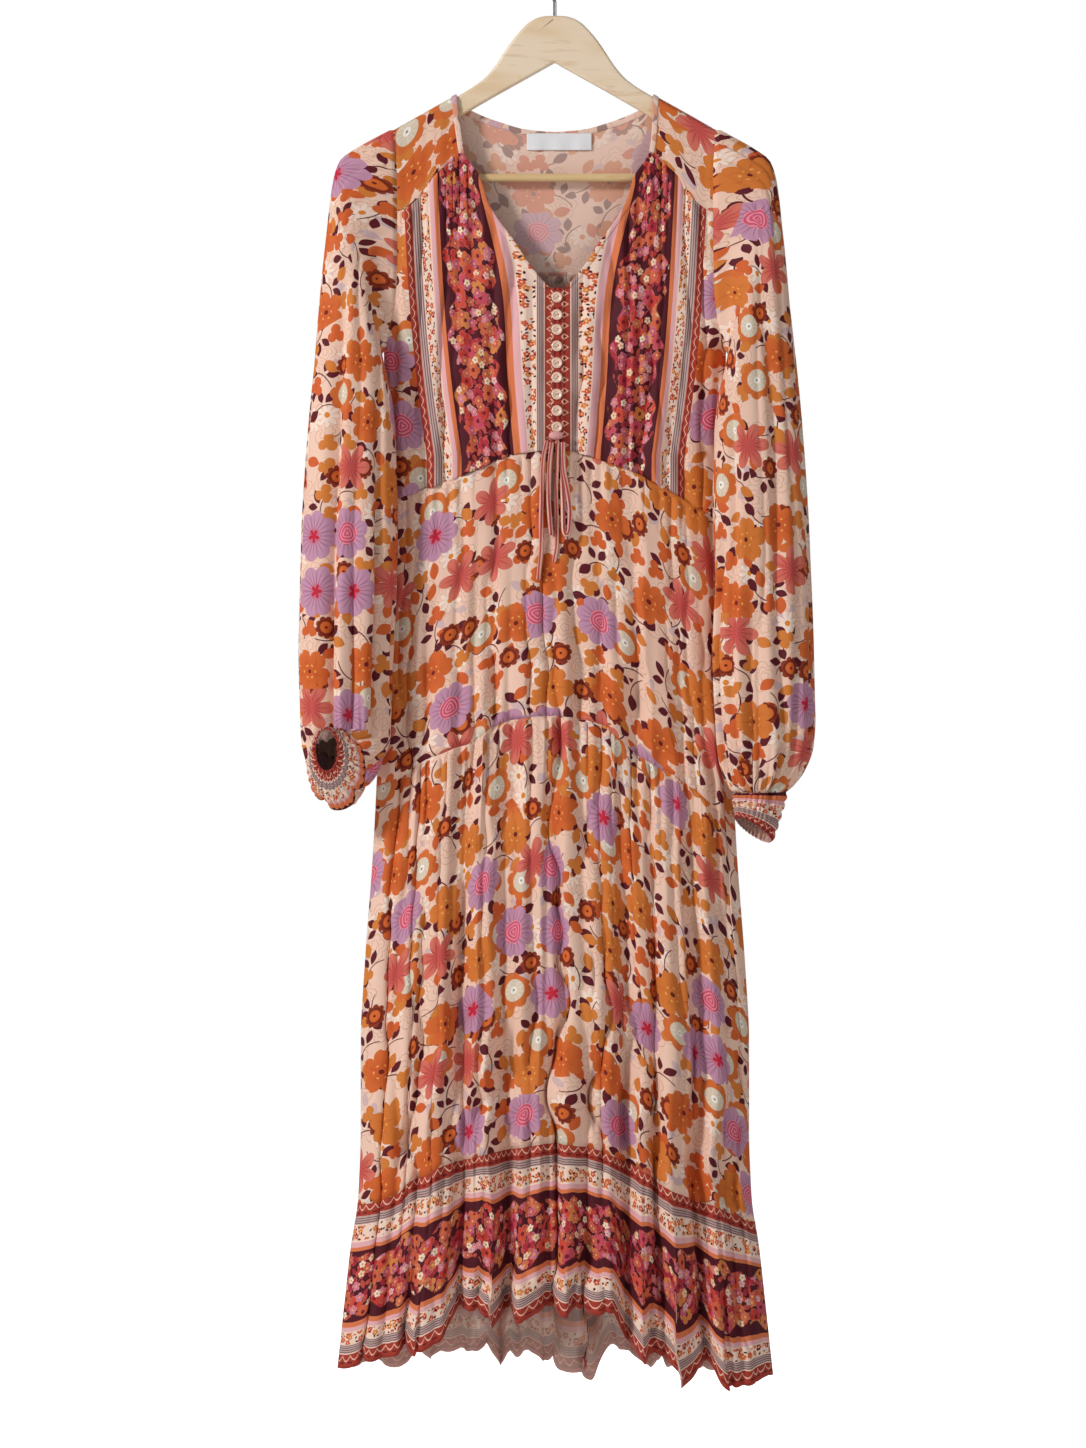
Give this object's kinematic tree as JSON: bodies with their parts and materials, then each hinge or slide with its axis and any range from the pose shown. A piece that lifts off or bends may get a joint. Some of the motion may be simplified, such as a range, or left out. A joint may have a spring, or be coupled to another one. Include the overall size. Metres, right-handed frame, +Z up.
{
  "type": "maxi dress on a wooden hanger",
  "caption": "Long printed dress with a V neck, buttoned placket, full gathered sleeves, tiered gathered skirt and a ruffled hem, hanging on a plain wooden hanger with a metal hook.",
  "frame": {"origin": "inner top of the hanger's hook, where a rail bears", "axes": "+Z up, +X to the viewer's right when the dress is seen from the front, the front facing -Y"},
  "size_m": [0.5644, 0.1444, 1.5798],
  "materials": {
    "print_cloth": "light printed viscose, soft sheen",
    "border_cloth": "light viscose with a dark border print, soft sheen",
    "binding_cloth": "light viscose, narrow strips and shirred cuffs",
    "label_cloth": "blank woven satin tape",
    "button_resin": "satin, slightly pearly",
    "hanger_wood": "pale, clear satin lacquer",
    "hanger_bar": "pale, clear satin lacquer",
    "hook_steel": "polished, plated"
  },
  "bodies": {
    "root": {"bodice_back": "print_cloth", "bodice_front_left": "border_cloth", "bodice_front_right": "border_cloth", "button_1": "button_resin", "button_2": "button_resin", "button_3": "button_resin", "button_4": "button_resin", "button_5": "button_resin", "button_6": "button_resin", "button_7": "button_resin", "button_8": "button_resin", "button_9": "button_resin", "cuff_left": "binding_cloth", "cuff_right": "binding_cloth", "hanger_bar": "hanger_bar", "hanger_hook": "hook_steel", "hanger_wood": "hanger_wood", "neck_binding": "binding_cloth", "neck_label": "label_cloth", "placket": "border_cloth", "ruffle_back": "border_cloth", "ruffle_front": "border_cloth", "skirt_back": "print_cloth", "skirt_front": "print_cloth", "sleeve_left_lower": "print_cloth", "sleeve_left_upper": "print_cloth", "sleeve_right": "print_cloth", "tie_knot": "binding_cloth", "tie_loop_left": "binding_cloth", "tie_loop_right": "binding_cloth", "tie_tail_left": "binding_cloth", "tie_tail_right": "binding_cloth", "waist_back": "print_cloth", "waist_front": "print_cloth", "yoke": "print_cloth"}
  },
  "joints": []
}
